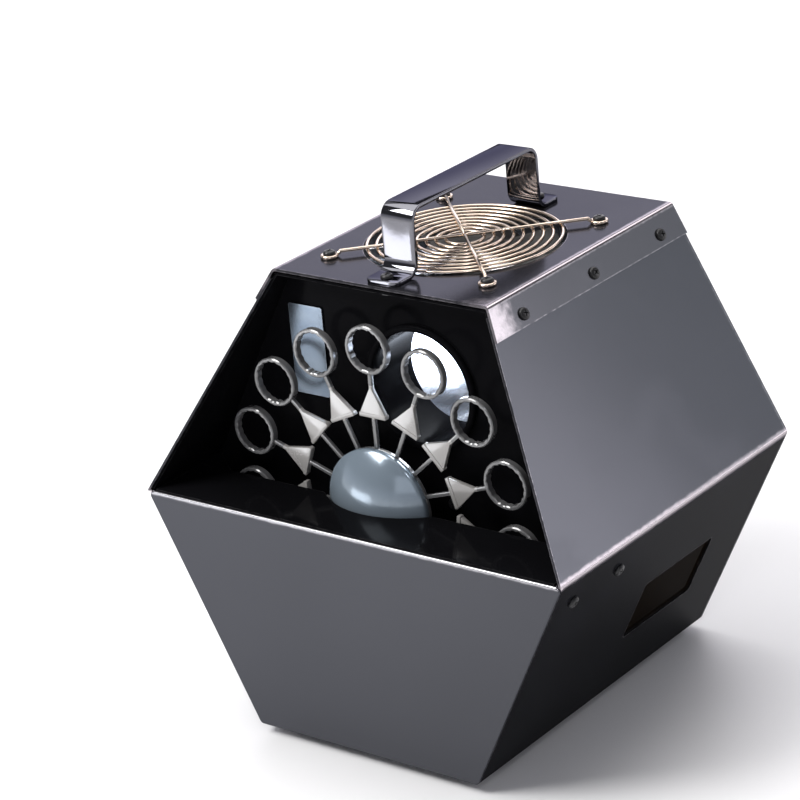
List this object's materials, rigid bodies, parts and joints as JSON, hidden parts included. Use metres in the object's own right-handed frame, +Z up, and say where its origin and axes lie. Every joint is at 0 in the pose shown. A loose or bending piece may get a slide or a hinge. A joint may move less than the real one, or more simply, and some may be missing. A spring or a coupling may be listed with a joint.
{
  "type": "bubble machine",
  "caption": "Hexagonal sheet-metal bubble machine: slanted open front with a wheel of bubble wands over a fluid tank, fan under a round guard on top, flat strap handle.",
  "frame": {"origin": "on the floor under the middle of the overall box", "axes": "+Z up, front with the open window towards -Y, right-hand side with the sight pane towards +X"},
  "size_m": [0.2992, 0.2451, 0.322],
  "materials": {
    "casing_paint": "semi-gloss gunmetal",
    "bay_black": "gloss black",
    "duct_alloy": "satin",
    "shelf_steel": "zinc plated",
    "tank_black": "black",
    "sight_amber": "smoked amber",
    "wheel_black": "dark grey",
    "cap_blue_grey": "blue grey",
    "shaft_steel": "ground",
    "brass": "turned",
    "gearbox_alloy": "cast",
    "motor_steel": "zinc plated",
    "fan_black": "moulded",
    "guard_plate": "warm nickel plate",
    "screw_black": "black zinc",
    "handle_black": "gloss black",
    "foot_rubber": "matte",
    "fitting_black": "moulded",
    "rocker_black": "polished",
    "pin_nickel": "nickel",
    "fuse_glass": "clear",
    "board_green": "solder mask",
    "board_dark": "moulded"
  },
  "bodies": {
    "casing": {"body_wrap": "casing_paint", "front_panel": "casing_paint", "back_panel": "casing_paint", "top_cover": "casing_paint", "bay_liner": "bay_black", "bay_wall": "bay_black", "drip_apron": "bay_black", "air_duct": "bay_black", "air_scoop": "duct_alloy", "access_plate": "duct_alloy", "deck_shelf": "shelf_steel", "motor_bracket": "shelf_steel", "fluid_tank": "tank_black", "level_window": "sight_amber", "shaft_bush": "brass", "motor_gearbox": "gearbox_alloy", "gear_motor": "motor_steel", "fan_frame": "fan_black", "fan_stator": "fan_black", "fan_guard": "guard_plate", "guard_screws": "screw_black", "handle_strap": "handle_black", "handle_screws": "screw_black", "handle_nuts": "shelf_steel", "bracket_screws": "screw_black", "cover_screws": "screw_black", "side_screws": "screw_black", "back_screws": "screw_black", "rubber_feet": "foot_rubber", "switch_body": "fitting_black", "mains_inlet": "fitting_black", "inlet_pins": "pin_nickel", "driver_board": "board_green", "board_parts": "board_dark", "board_standoffs": "brass"},
    "wheel": {"wand_wheel": "wheel_black", "hub_cap": "cap_blue_grey", "wheel_shaft": "shaft_steel"},
    "rotor": {"fan_rotor": "fan_black"},
    "rocker": {"switch_rocker": "rocker_black"},
    "drawer": {"fuse_drawer": "fitting_black", "fuse": "fuse_glass"}
  },
  "joints": [
    {"name": "wheel_spin", "type": "hinge", "parent": "casing", "child": "wheel", "pos_m": [-0.009, -0.0745, 0.146], "axis": [0, 1, 0], "continuous": true},
    {"name": "fan_spin", "type": "hinge", "parent": "casing", "child": "rotor", "pos_m": [0, 0.0135, 0.267], "axis": [0, 0, 1], "continuous": true},
    {"name": "power_rocker", "type": "hinge", "parent": "casing", "child": "rocker", "pos_m": [-0.022, 0.1169, 0.152], "axis": [1, 0, 0], "range_deg": [-16, 0]},
    {"name": "fuse_drawer_slide", "type": "slide", "parent": "casing", "child": "drawer", "axis": [0, 1, 0], "range_m": [0, 0.012]}
  ]
}
